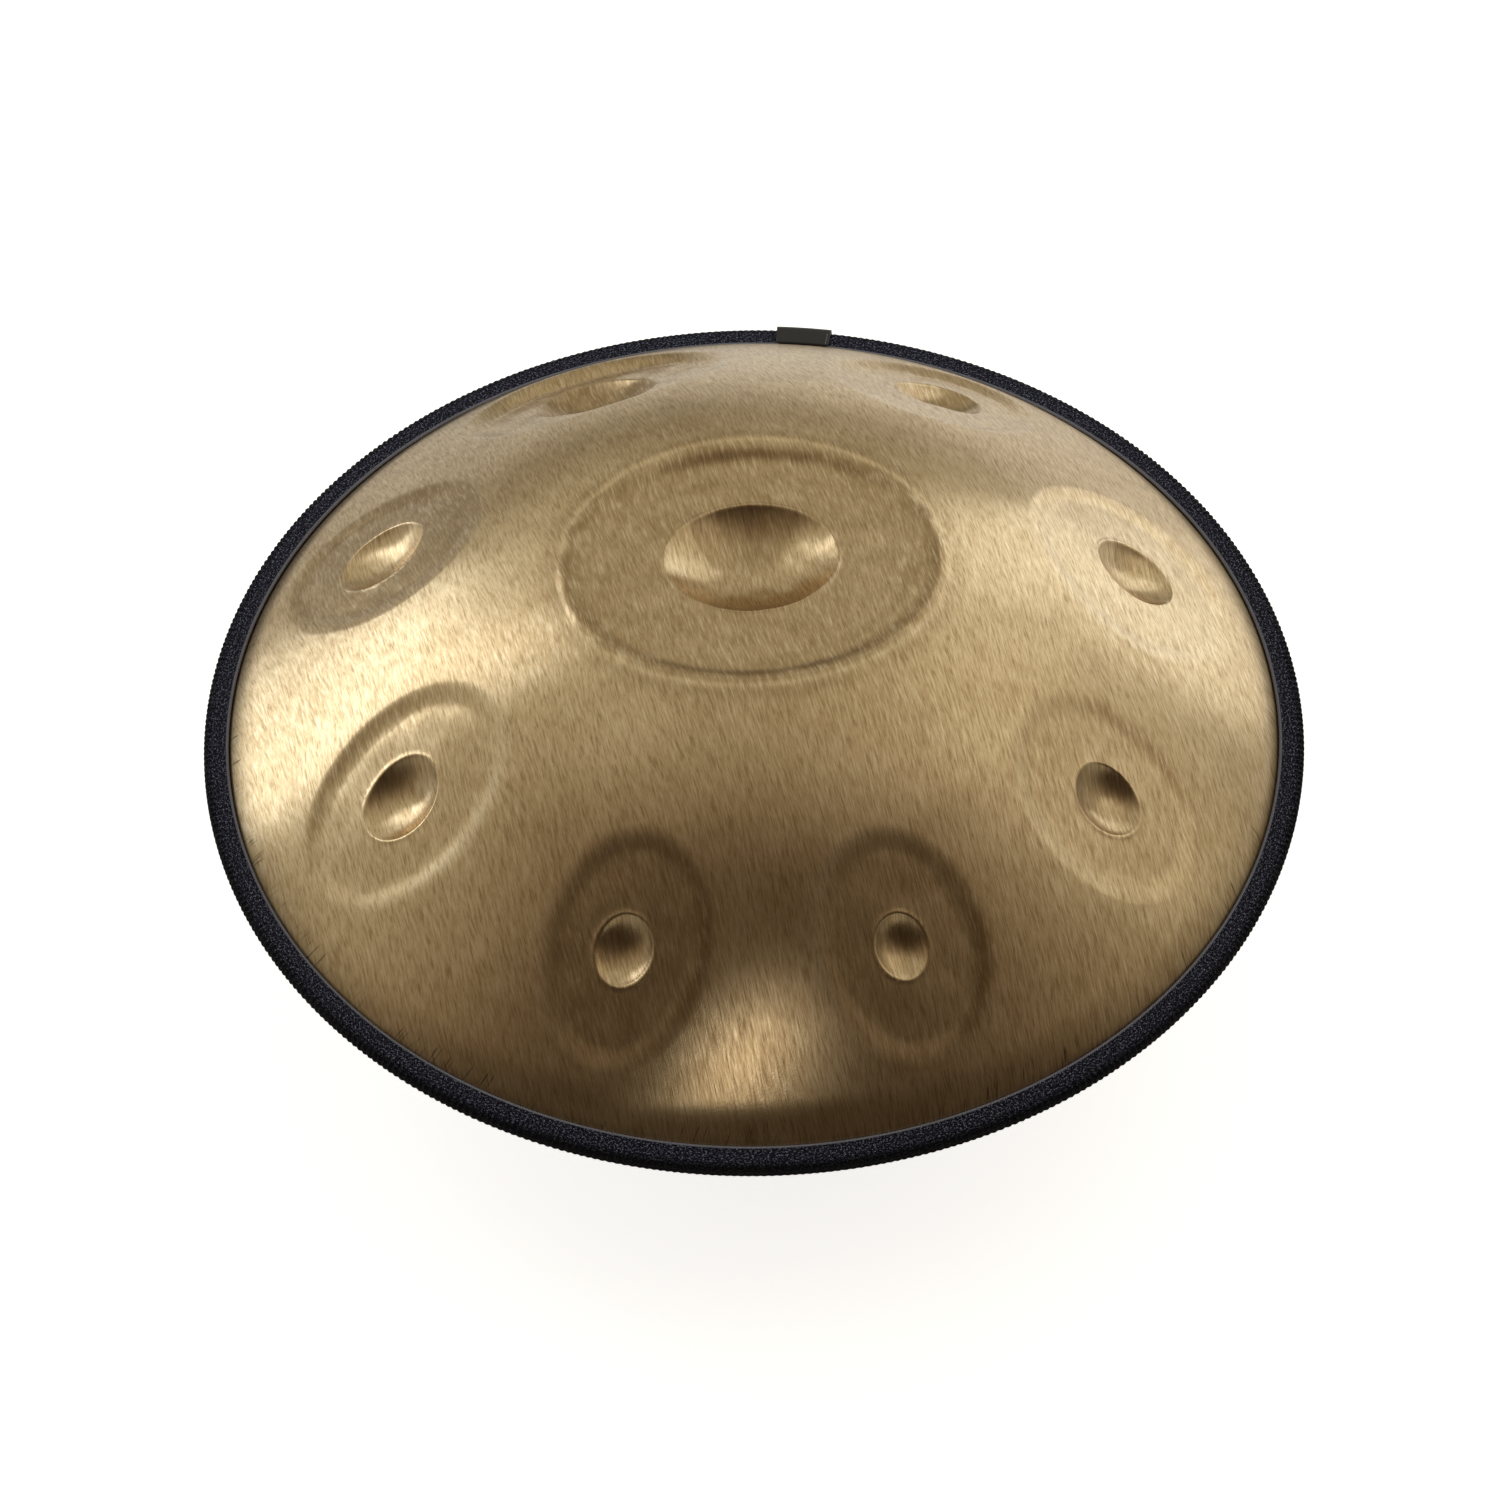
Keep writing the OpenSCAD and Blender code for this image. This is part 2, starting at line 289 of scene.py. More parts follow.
# A ring note's edge band of painted shade: distance inside, half width, and the share of painted
# highlight on its other side. The run over which the painted shade on its floor sets in, and the
# width of a dimple's soft edge
EDGE_IN = 5.0
EDGE_W = 4.6
EDGE_HIGHLIGHT = 0.4
FIELD_SHADE_IN = 9.0
DIMPLE_SOFT = 2.0


def hump(value, at, half_width):
    """A smooth hump of height 1 at a value."""
    return np.exp(-((value - at) / half_width) ** 2)


def in_dimple(x, y, note):
    """1 in a note's dimple and 0 outside, with a soft edge."""
    return smooth_step(oval(x, y, *note["dimple"]) / DIMPLE_SOFT + 0.5)


def tint_and_painted_light(x, y):
    """Brown tint and painted shade over the plan points: 0 for plain, below 0 for painted
    highlight.
    """
    points = np.column_stack([x, y, dome(np.hypot(x, y))[0]])
    u, v, inside = in_ding(x, y)
    dimple = in_dimple(u, v, DING)
    painted_light_and_tint = DING_BROWN * smooth_step(inside / DING_BROWN_IN + DING_BROWN_OUT)
    painted_light_and_tint *= 1 - DIMPLE_CLEAR * dimple
    # Rings of painted shade and painted highlight round the centre note's edge
    for strength, at, half_width in DING_SHADE_BANDS:
        painted_light_and_tint += strength * hump(inside, at, half_width)
    # Painted shade on the far half of the centre dimple
    painted_light_and_tint += PATCH_SHADE * dimple * hump(u, 0, PATCH_W) * smooth_step((v + PATCH_FROM) / PATCH_RUN)
    for note in RING:
        u, v, h, inside = in_note(points, note)
        # Painted shade on the edge band's side towards the dark direction, painted highlight on the
        # other
        turn = math.radians(note["dark"] - note["turn"])
        toward = (u * math.cos(turn) + v * math.sin(turn)) / np.maximum(np.hypot(u, v), 1)
        sided = np.maximum(toward, 0) - EDGE_HIGHLIGHT * np.maximum(-toward, 0)
        dimple = in_dimple(u, v, note)
        # Painted shade on the field's floor (painted highlight where negative), in the dimple and
        # on the edge
        here = note["painted_light_and_tint"] * smooth_step(inside / FIELD_SHADE_IN) * (1 - dimple)
        here += note["bowl"] * dimple + note["edge"] * hump(inside, EDGE_IN, EDGE_W) * sided
        painted_light_and_tint += np.where(h > SIDE_DROP, here, 0)
    return painted_light_and_tint


def shell_points(x, y):
    """Points of the pressed shell over the plan points x, y, as [n, 3]."""
    r = np.hypot(x, y)
    height, slope = dome(r)
    unit = np.stack([x, y], 1) / np.maximum(r, 1e-9)[:, None]
    normals = np.column_stack([unit * np.sin(slope)[:, None], np.cos(slope)])
    points = np.column_stack([x, y, height])
    return points - normals * pressed(points, normals)[:, None]


def true_normals(x, y):
    """Unit normals of the pressed shell over the plan points x, y."""
    step = 0.05
    east = shell_points(x + step, y) - shell_points(x - step, y)
    north = shell_points(x, y + step) - shell_points(x, y - step)
    found = np.cross(east, north)
    return found / np.linalg.norm(found, axis=1)[:, None]


# ---------------------------------------------------------------- making meshes

def new_piece(name, verts, faces, replaces):
    """A smooth mesh piece, in place of a CAD node, from points round the rim's middle plane."""
    mesh = bpy.data.meshes.new(name)
    lifted = np.asarray(verts, float) + [0, 0, RIM_Z]
    mesh.from_pydata((lifted * MM).tolist(), [], faces)
    mesh.validate()
    mesh.polygons.foreach_set("use_smooth", [True] * len(mesh.polygons))
    mesh.update()
    piece = bpy.data.objects.new(name, mesh)
    bpy.context.scene.collection.objects.link(piece)
    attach(piece, "root")
    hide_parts(replaces)
    return piece


def ring_faces(first, second, count, flip=False):
    """Quads between two closed rings of count points whose first points are given."""
    faces = []
    for i in range(count):
        j = (i + 1) % count
        quad = (first + i, second + i, second + j, first + j)
        faces.append(quad[::-1] if flip else quad)
    return faces


def circle(count):
    """Evenly spaced angles round a full turn."""
    return np.arange(count) * 2 * math.pi / count


def put_values(mesh, name, values):
    """One number on each vertex, for the materials."""
    mesh.attributes.new(name, "FLOAT", "POINT").data.foreach_set("value", values)


def put_uv(mesh, along, across):
    """A UV map from two values per vertex, in millimetres; the seam is at the highest along."""
    layer = mesh.uv_layers.new(name="rim_mm")
    corners = np.zeros(len(mesh.loops), int)
    mesh.loops.foreach_get("vertex_index", corners)
    u, v = np.asarray(along, float)[corners], np.asarray(across, float)[corners]
    starts = np.zeros(len(mesh.polygons), int)
    mesh.polygons.foreach_get("loop_start", starts)
    totals = np.zeros(len(mesh.polygons), int)
    mesh.polygons.foreach_get("loop_total", totals)
    whole = 2 * math.pi * RIM_R
    highest = np.repeat(np.maximum.reduceat(u, starts), totals)
    u = np.where(highest - u > whole / 2, u + whole, u)
    layer.data.foreach_set("uv", np.column_stack([u, v]).ravel())


# The shells' grids: even rings out to EVEN_R, then closer ones down the foot to the flange
TOP_AROUND = 384
TOP_RINGS = 96
INNER_RINGS = 44
BOTTOM_AROUND = 360
BOTTOM_RINGS = 64
EVEN_R = 255.0
FOOT_STEP = 1.6
BEND_RINGS = 9
INNER_BEND_RINGS = 6
# Where the top grid is refined: between these distances inside a field's edge, and within
# these distances of the centre dimple's edge and of a ring dimple's edge
DING_ZONE = (-3, 16)
NOTE_ZONE = (-2, 12)
LIP_ZONES = {"wall": (6, 5), "lip": (2.2, 1.8)}


def foot_radii():
    """Radii of the rings from the even grid's end to the flange's edge."""
    return [*np.arange(EVEN_R + 1.5, SHOULDER_END, FOOT_STEP),
            *np.linspace(SHOULDER_END, BEND_END, BEND_RINGS), FLANGE_R]


def near_feature(x, y, reach):
    """Which plan points lie near a field's wall, or near a dimple's lip."""
    r = np.hypot(x, y)
    points = np.column_stack([x, y, dome(r)[0]])
    ding_lip, note_lip = LIP_ZONES[reach]
    u, v, inside = in_ding(x, y)
    found = abs(oval(u, v, *DING["dimple"])) < ding_lip
    if reach == "wall":
        found |= (inside > DING_ZONE[0]) & (inside < DING_ZONE[1])
    for note in RING:
        u, v, h, inside = in_note(points, note)
        here = h > SIDE_DROP
        found |= (abs(oval(u, v, *note["dimple"])) < note_lip) & here
        if reach == "wall":
            found |= (inside > NOTE_ZONE[0]) & (inside < NOTE_ZONE[1]) & here
    return found & (r < EVEN_R + 1)


def top_grid():
    """Plan points and faces of a polar grid, refined round the walls and the dimples' lips."""
    radii = [*np.linspace(0, EVEN_R, TOP_RINGS)[1:], *foot_radii()]
    bm = bmesh.new()
    middle = bm.verts.new((0, 0, 0))
    rings = [[bm.verts.new((r * math.cos(a), r * math.sin(a), 0)) for a in circle(TOP_AROUND)]
             for r in radii]
    for i in range(TOP_AROUND):
        j = (i + 1) % TOP_AROUND
        bm.faces.new((middle, rings[0][i], rings[0][j]))
        for low, high in zip(rings, rings[1:]):
            bm.faces.new((low[i], high[i], high[j], low[j]))
    for reach in LIP_ZONES:
        bm.edges.ensure_lookup_table()
        mids = np.array([(e.verts[0].co + e.verts[1].co)[:2] for e in bm.edges]) / 2
        wanted = near_feature(mids[:, 0], mids[:, 1], reach)
        picked = [e for e, w in zip(bm.edges, wanted) if w]
        bmesh.ops.subdivide_edges(bm, edges=picked, cuts=1, use_grid_fill=True)
    bm.verts.ensure_lookup_table()
    bm.verts.index_update()
    plan = np.array([v.co[:2] for v in bm.verts])
    faces = [tuple(v.index for v in f.verts) for f in bm.faces]
    bm.free()
    return plan[:, 0], plan[:, 1], faces


def build_top_shell():
    """The pressed sheet as one closed skin, finer outside than inside."""
    x, y, faces = top_grid()
    edge = np.flatnonzero(np.hypot(x, y) > FLANGE_R - 0.01)
    turn = np.arctan2(y[edge], x[edge]) % (2 * math.pi - 1e-6)
    outer_ring = edge[np.argsort(turn)].tolist()
    outside = shell_points(x, y)
    normals = true_normals(x, y)
    # The centre note's brown tint with the painted shade and painted highlight of the notes
    painted_light_and_tint = tint_and_painted_light(x, y)

    radii = [*np.linspace(0, EVEN_R, INNER_RINGS)[1:], EVEN_R + 4,
             *np.linspace(SHOULDER_END, BEND_END, INNER_BEND_RINGS), FLANGE_R]
    angle = circle(TOP_AROUND)
    x = np.concatenate([r * np.cos(angle) for r in radii] + [[0.0]])
    y = np.concatenate([r * np.sin(angle) for r in radii] + [[0.0]])
    inside_normals = true_normals(x, y)
    inside = shell_points(x, y) - SHEET * inside_normals
    start = len(outside)
    for k in range(len(radii) - 1):
        faces += ring_faces(start + k * TOP_AROUND, start + (k + 1) * TOP_AROUND, TOP_AROUND,
                            flip=True)
    tip = start + len(inside) - 1
    last = start + (len(radii) - 1) * TOP_AROUND
    following = [(i, (i + 1) % TOP_AROUND) for i in range(TOP_AROUND)]
    faces += [(tip, start + j, start + i) for i, j in following]
    faces += [(outer_ring[i], last + i, last + j, outer_ring[j]) for i, j in following]
    piece = new_piece("top_shell_pressed", np.vstack([outside, inside]), faces,
                      "top_shell")
    piece.data.normals_split_custom_set_from_vertices(
        np.vstack([normals, -inside_normals]).tolist())
    put_values(piece.data, "tint_and_painted_light", np.concatenate([painted_light_and_tint, np.zeros(len(inside))]))
    return piece


# The sound port in the bottom shell, its neck's length, the flat round it and its edge's bend
PORT_R = 52.0
NECK = 45.0
LAND_R = 68.0
NECK_BEND = 4.0


def build_bottom_shell():
    """The lower sheet, a revolved line with the port's neck, as one closed skin."""
    land_z = float(dome(np.array([LAND_R]))[0][0])
    radii = np.array([*np.linspace(LAND_R, EVEN_R, BOTTOM_RINGS), *foot_radii()])
    height, slope = dome(radii)
    slope[0] = slope[0] / 2
    line = np.column_stack([radii, height])
    side = np.column_stack([np.sin(slope), np.cos(slope)])
    turn = np.linspace(math.pi / 2, 0, 9)
    bend = np.column_stack([PORT_R + NECK_BEND - NECK_BEND * np.sin(turn),
                            land_z - NECK_BEND + NECK_BEND * np.cos(turn)])
    bend_side = np.column_stack([-np.sin(turn), np.cos(turn)])
    neck_z = np.linspace(land_z - NECK, land_z - NECK_BEND, 12)[:-1]
    neck = np.column_stack([np.full(len(neck_z), PORT_R), neck_z])
    neck_side = np.tile([-1.0, 0.0], (len(neck), 1))
    land = np.column_stack([np.linspace(PORT_R + NECK_BEND, LAND_R, 5)[1:-1], [land_z] * 3])
    land_side = np.tile([0.0, 1.0], (len(land), 1))
    outside = np.vstack([neck, bend, land, line])
    inward = np.vstack([neck_side, bend_side, land_side, side])
    rings = np.vstack([outside, (outside - SHEET * inward)[::-1]])
    angle = circle(BOTTOM_AROUND)
    verts = [np.column_stack([r * np.cos(angle), r * np.sin(angle), np.full(len(angle), -z)])
             for r, z in rings]
    faces = []
    for k in range(len(rings)):
        faces += ring_faces(k * BOTTOM_AROUND, (k + 1) % len(rings) * BOTTOM_AROUND,
                            BOTTOM_AROUND, flip=True)
    return new_piece("bottom_shell_pressed", np.concatenate(verts), faces,
                     "bottom_shell")


# The tape: width on a face, the width of that face which stays flat, thickness and the fold's
# radius at the rim's edge
TAPE_AROUND = 2900
TAPE_W = 12.8
FACE_W = 9.8
TAPE_T = 1.5
FOLD_R = 3.0
# Its gathers: length and height of one, where over the tape's width they begin and the run to
# full height, their mean and how much it varies, how far they sink, and the share of them left
# in front and behind. The waves that vary them are counts round the rim, with random heights.
PUCKER = 3.5
PUCKER_HIGH = 0.5
PUCKER_FROM = 0.62
PUCKER_RUN = 0.5
PUCKER_MEAN = 0.75
PUCKER_VARY = 0.5
PUCKER_SINK = 0.6
PUCKER_LEAST = 0.3
STRENGTH_WAVES = (3, 7, 11, 19, 31)
STRENGTH_HEIGHTS = (0.3, 1)
WOBBLE_WAVES = (5, 13, 29, 47)
WOBBLE_HEIGHTS = (0.2, 0.6)


def mirrored(half):
    """A line of [radius, height] points followed by its mirror image below the rim's plane."""
    return half + [[r, -z] for r, z in half[::-1]]


def tape_section():
    """The tape's section as [radius, height]: its outside line and its hidden back."""
    selvedge = TAPE_T / 2
    start = RIM_R - TAPE_W + selvedge
    top = [[r, TAPE_TOP] for r in np.linspace(start, RIM_R - FOLD_R, 7)]
    fold = [[RIM_R - FOLD_R + FOLD_R * math.sin(a), TAPE_TOP - FOLD_R + FOLD_R * math.cos(a)]
            for a in np.linspace(0, math.pi / 2, 5)[1:]]
    roll = [[start - selvedge * math.sin(a), TAPE_TOP - selvedge + selvedge * math.cos(a)]
            for a in np.linspace(0, math.pi, 4)[1:-1]]
    under = TAPE_TOP - TAPE_T
    back = [*roll, [start, under], [RIM_R - FOLD_R, under], [RIM_R - TAPE_T, TAPE_TOP - FOLD_R]]
    return np.array(mirrored(top + fold)), np.array([[r, -z] for r, z in back] + back[::-1])


def random_waves(rng, angle, counts, heights):
    """A sum of waves round the rim, each with a random height and start."""
    return sum(rng.uniform(*heights) * np.cos(k * angle + rng.uniform(0, 2 * math.pi))
               for k in counts)


def build_tape():
    """The woven tape folded round the rim, gathered where it turns the edge."""
    outer, back = tape_section()
    steps = np.linalg.norm(np.diff(outer, axis=0), axis=1)
    across = np.concatenate([[0], np.cumsum(steps), np.full(len(back), -1.0)])
    angle = circle(TAPE_AROUND)
    rng = np.random.default_rng(7)
    strength = random_waves(rng, angle, STRENGTH_WAVES, STRENGTH_HEIGHTS) / len(STRENGTH_WAVES)
    wobble = random_waves(rng, angle, WOBBLE_WAVES, WOBBLE_HEIGHTS)
    wave = np.cos(round(2 * math.pi * RIM_R / PUCKER) * angle + wobble)
    sideways = PUCKER_LEAST + (1 - PUCKER_LEAST) * abs(np.cos(angle))
    verts, ribs = [], []
    section = np.vstack([outer, back])
    centre = np.array([RIM_R - FOLD_R, 0])
    for k, (r, z) in enumerate(section):
        reach = smooth_step((r - (RIM_R - TAPE_W * PUCKER_FROM)) / (TAPE_W * PUCKER_RUN))
        gather = reach if k < len(outer) else 0
        gather = gather * (PUCKER_MEAN + PUCKER_VARY * strength) * sideways
        height = PUCKER_HIGH * gather * (wave - PUCKER_SINK)
        ribs.append(gather * wave)
        way = np.array([r, z]) - centre
        way = way / np.linalg.norm(way) if r > centre[0] else np.array([0, np.sign(z)])
        verts.append(np.column_stack([(r + height * way[0]) * np.cos(angle),
                                      (r + height * way[0]) * np.sin(angle),
                                      z + height * way[1]]))
    rows = len(section)
    faces = []
    for k in range(rows):
        faces += ring_faces(k * TAPE_AROUND, (k + 1) % rows * TAPE_AROUND, TAPE_AROUND, flip=True)
    piece = new_piece("rim_tape_woven", np.concatenate(verts), faces, "rim_tape")
    put_uv(piece.data, np.tile(angle * RIM_R, rows), np.repeat(across, TAPE_AROUND))
    put_values(piece.data, "rib", np.concatenate(ribs))
    return piece


# The loop tag: direction from +X in degrees, length along the rim, ribbon thickness, outside
# radius and height, the bend at the rim's edge and the rounding of its corners
TAG_TURN = 83.7
TAG_LONG = 30.0
TAG_T = 0.9
TAG_R = RIM_R + 2.4
TAG_TOP = TAPE_TOP + 1.55
TAG_BEND = TAG_TOP - 1.2
TAG_CORNER = 2.2
TAG_SLICES = 48


def tag_line(inset):
    """The ribbon's outer line as [radius, height] from its top end round the rim to its low end."""
    start = RIM_R - TAPE_W + inset
    top = [[r, TAG_TOP] for r in np.linspace(start, TAG_R - TAG_BEND, 8)]
    turn = [[TAG_R - TAG_BEND + TAG_BEND * math.sin(a), TAG_TOP - TAG_BEND + TAG_BEND * math.cos(a)]
            for a in np.linspace(0, math.pi / 2, 9)[1:]]
    return np.array(mirrored(top + turn))


def build_tag():
    """The loop of ribbon over the tape, its four corners rounded off."""
    u = np.linspace(-1, 1, TAG_SLICES) * TAG_LONG / 2
    short = np.maximum(abs(u) - (TAG_LONG / 2 - TAG_CORNER), 0)
    inset = TAG_CORNER - np.sqrt(np.maximum(TAG_CORNER**2 - short**2, 0))
    angle = math.radians(TAG_TURN) + u / TAG_R
    verts = []
    for a, cut in zip(angle, inset):
        outer = tag_line(cut)
        step = np.gradient(outer, axis=0)
        normal = np.column_stack([-step[:, 1], step[:, 0]])
        normal /= np.linalg.norm(normal, axis=1)[:, None]
        loop = np.vstack([outer, (outer - normal * TAG_T)[::-1]])
        verts.append(np.column_stack([loop[:, 0] * math.cos(a), loop[:, 0] * math.sin(a),
                                      loop[:, 1]]))
    count = len(verts[0])
    faces = []
    for k in range(TAG_SLICES - 1):
        faces += ring_faces(k * count, (k + 1) * count, count)
    for k, flip in ((0, False), (TAG_SLICES - 1, True)):
        for i in range(count // 2 - 1):
            j = count - 1 - i
            quad = [k * count + v for v in (i, i + 1, j - 1, j)]
            faces.append(tuple(quad[::-1] if flip else quad))
    return new_piece("loop_tag_ribbon", np.concatenate(verts), faces, "loop_tag")


# The tag's stitches: thread radius, a stitch's length and pitch, the radii between which they
# run, how far they sit inside the tag's end, how high their middle and how deep their ends are,
# and how thin their ends get
THREAD_R = 0.3
STITCH = 1.6
STITCH_PITCH = 2.1
STITCHES_FROM = RIM_R - TAPE_W + 1
STITCHES_TO = RIM_R - 4
STITCH_EDGE = 1.6
STITCH_HIGH = 0.2
STITCH_SUNK = 0.15
STITCH_THIN = 0.55
THREAD_SIDES = 10
THREAD_ROWS = 9


def build_stitches():
    """Two rows of thread along the tag's sewn end, each stitch sunk at both ends."""
    turn = math.radians(TAG_TURN) - (TAG_LONG / 2 - STITCH_EDGE) / TAG_R
    verts, faces = [], []
    for face in (1, -1):
        for r in np.arange(STITCHES_FROM, STITCHES_TO, STITCH_PITCH):
            start = len(verts)
            for k in range(THREAD_ROWS):
                share = k / (THREAD_ROWS - 1)
                arch = math.sin(math.pi * share)
                lift = STITCH_HIGH * arch - STITCH_SUNK
                thick = THREAD_R * (STITCH_THIN + (1 - STITCH_THIN) * arch)
                x = r + STITCH * share
                for a in circle(THREAD_SIDES):
                    side = thick * math.cos(a)
                    high = face * (TAG_TOP + THREAD_R + lift + thick * math.sin(a))
                    verts.append((x * math.cos(turn) - side * math.sin(turn),
                                  x * math.sin(turn) + side * math.cos(turn), high))
            last = start + (THREAD_ROWS - 1) * THREAD_SIDES
            for first in range(start, last, THREAD_SIDES):
                faces += ring_faces(first, first + THREAD_SIDES, THREAD_SIDES, flip=face < 0)
            ends = [tuple(range(start, start + THREAD_SIDES))[::-1],
                    tuple(range(last, last + THREAD_SIDES))]
            faces += [e[::-1] if face < 0 else e for e in ends]
    return new_piece("loop_tag_thread", verts, faces, "loop_tag_stitches")


# ---------------------------------------------------------------- materials

class Nodes:
    """Short names for the node calls that the materials and the world share."""

    def __init__(self, tree):
        self.tree = tree

    def add(self, kind, inputs=(), **settings):
        node = self.tree.nodes.new(kind)
        for key, value in settings.items():
            setattr(node, key, value)
        for key, value in dict(inputs).items():
            self.set(node.inputs[key], value)
        return node

    def set(self, socket, value):
        if isinstance(value, bpy.types.NodeSocket):
            self.tree.links.new(value, socket)
        else:
            socket.default_value = value

    def math(self, how, a, b=0.0):
        return self.add("ShaderNodeMath", {0: a, 1: b}, operation=how).outputs[0]

    def add_up(self, *parts):
        """Sum of parts, each a value and its share."""
        total = self.math("MULTIPLY", *parts[0])
        for value, share in parts[1:]:
            total = self.math("ADD", total, self.math("MULTIPLY", value, share))
        return total

    def place(self):
        return self.add("ShaderNodeTexCoord").outputs["Object"]

    def split(self, vector):
        return self.add("ShaderNodeSeparateXYZ", {0: vector}).outputs

    def attribute(self, name):
        return self.add("ShaderNodeAttribute", attribute_name=name).outputs["Fac"]

    def mapped(self, vector, scale=(1, 1, 1), turn=(0, 0, 0)):
        return self.add("ShaderNodeMapping", {"Vector": vector, "Scale": scale,
                                              "Rotation": turn}).outputs[0]

    def noise(self, vector, scale, detail=2.0, rough=0.5):
        return self.add("ShaderNodeTexNoise", {"Vector": vector, "Scale": scale, "Detail": detail,
                                               "Roughness": rough}).outputs["Fac"]

    def fit(self, value, low, high, to_low=0.0, to_high=1.0, how="LINEAR"):
        inputs = {"Value": value, "From Min": low, "From Max": high, "To Min": to_low,
                  "To Max": to_high}
        return self.add("ShaderNodeMapRange", inputs, interpolation_type=how).outputs[0]

    def mix(self, share, a, b):
        node = self.add("ShaderNodeMix", data_type="RGBA", clamp_factor=True)
        for socket, value in zip((node.inputs[0], node.inputs[6], node.inputs[7]), (share, a, b)):
            self.set(socket, value)
        return node.outputs[2]

    def bump(self, height, strength, distance):
        inputs = {"Height": height, "Strength": strength, "Distance": distance}
        return self.add("ShaderNodeBump", inputs).outputs[0]

    def finish(self, **inputs):
        """Sets the shader's inputs, named in small letters with underscores."""
        shader = self.tree.nodes["Principled BSDF"]
        sockets = {s.name.lower().replace(" ", "_"): s for s in shader.inputs}
        for key, value in inputs.items():
            self.set(sockets[key], value)


def new_material(name):
    material = bpy.data.materials.new(name)
    material.use_nodes = True
    return material, Nodes(material.node_tree)


# The steel is rubbed front to back, turned by BRUSH_TURN. BRUSH_SCALES are the noise waves per
# metre across and along the strokes, from hair-fine to coarse.
BRUSH_TURN = math.radians(-15)
BRUSH_SWAY = 0.006
BRUSH_SCALES = dict(hair=(1800, 170, 1), fine=(950, 105, 1), coarse=(420, 45, 1))
ROUGH = (0.36, 0.27)
ANISOTROPY = 0.75
TOP_GOLD = (0.70, 0.54, 0.33, 1)
TOP_BROWN = (0.54, 0.395, 0.22, 1)
BOTTOM_GOLD = (0.60, 0.48, 0.30, 1)
BOTTOM_BROWN = (0.46, 0.36, 0.22, 1)
# Brown tint and painted shade of the notes, then their painted highlight
BROWN_TINT_AND_SHADE = (0.25, 0.155, 0.07, 1)
PAINTED_HIGHLIGHT = (0.92, 0.84, 0.66, 1)
STROKE_BRIGHT = (0.95, 0.82, 0.60, 1)
STROKE_DARK = (0.28, 0.175, 0.085, 1)
SCRATCH = (0.08, 0.05, 0.025, 1)


def brushed_steel(name, gold, brown):
    """Bronze-coloured steel, rubbed front to back, with cloudy tint and the notes' brown tint,
    painted shade and painted highlight.
    """
    material, n = new_material(name)
    place = n.place()
    flat = n.mapped(place, scale=(1, 1, 0))
    sway = n.fit(n.noise(flat, 9.0, 1.0), 0, 1, -BRUSH_SWAY, BRUSH_SWAY)
    aside = n.add("ShaderNodeCombineXYZ", {0: sway}).outputs[0]
    swayed = n.add("ShaderNodeVectorMath", {0: flat, 1: aside}, operation="ADD").outputs[0]
    turned = n.mapped(swayed, turn=(0, 0, BRUSH_TURN))
    hair = n.noise(n.mapped(turned, scale=BRUSH_SCALES["hair"]), 1.0, 2.0, 0.6)
    fine = n.noise(n.mapped(turned, scale=BRUSH_SCALES["fine"]), 1.0, 2.0, 0.6)
    coarse = n.noise(n.mapped(turned, scale=BRUSH_SCALES["coarse"]), 1.0, 2.0, 0.55)
    grain = n.noise(place, 1100.0, 2.0, 0.6)
    cloud = n.noise(place, 14.0, 4.0, 0.55)
    blotch = n.noise(place, 60.0, 3.0, 0.6)
    streak = n.add_up((fine, 0.5), (coarse, 0.25), (hair, 0.25))
    tint = n.add_up((cloud, 0.6), (blotch, 0.4))
    painted_light_and_tint = n.math("MULTIPLY", n.attribute("tint_and_painted_light"), n.fit(blotch, 0.3, 0.7, 0.75, 1.25))
    colour = n.mix(n.fit(tint, 0.35, 0.65), gold, brown)
    # Brown tint and painted shade where the value is positive, painted highlight where it is
    # negative
    colour = n.mix(n.fit(painted_light_and_tint, 0.0, 1.0, 0.0, 0.8), colour, BROWN_TINT_AND_SHADE)
    colour = n.mix(n.fit(painted_light_and_tint, 0.0, -1.0, 0.0, 0.7), colour, PAINTED_HIGHLIGHT)
    colour = n.mix(n.fit(streak, 0.5, 0.66, 0.0, 0.5), colour, STROKE_BRIGHT)
    thin = n.add_up((fine, 0.6), (hair, 0.4))
    dash = n.math("MULTIPLY", n.fit(thin, 0.5, 0.4), n.fit(coarse, 0.62, 0.42, 0.25, 0.6))
    speck = n.fit(grain, 0.45, 0.3, 0.0, 0.2)
    colour = n.mix(n.math("MAXIMUM", dash, speck), colour, STROKE_DARK)
    colour = n.mix(rim_ticks(n, place), colour, SCRATCH)
    rub = n.math("ADD", streak, n.math("MULTIPLY", grain, 0.15))
    brush = (math.sin(BRUSH_TURN), math.cos(BRUSH_TURN), 0)
    facing = n.add("ShaderNodeNewGeometry").outputs["Normal"]
    across = n.add("ShaderNodeVectorMath", {0: facing, 1: brush}, operation="CROSS_PRODUCT")
    n.finish(base_color=colour, metallic=1.0, normal=n.bump(rub, 0.45, 0.0003),
             anisotropic=ANISOTROPY, tangent=across.outputs[0],
             roughness=n.fit(streak, 0.3, 0.7, *ROUGH))
    return material


# Scratches begin over these radii, in metres, plus up to TICK_REACH; they lean by TICK_LEAN
TICKS_FROM = (0.2540, 0.2560)
TICK_REACH = 0.009
TICK_LEAN = 0.5


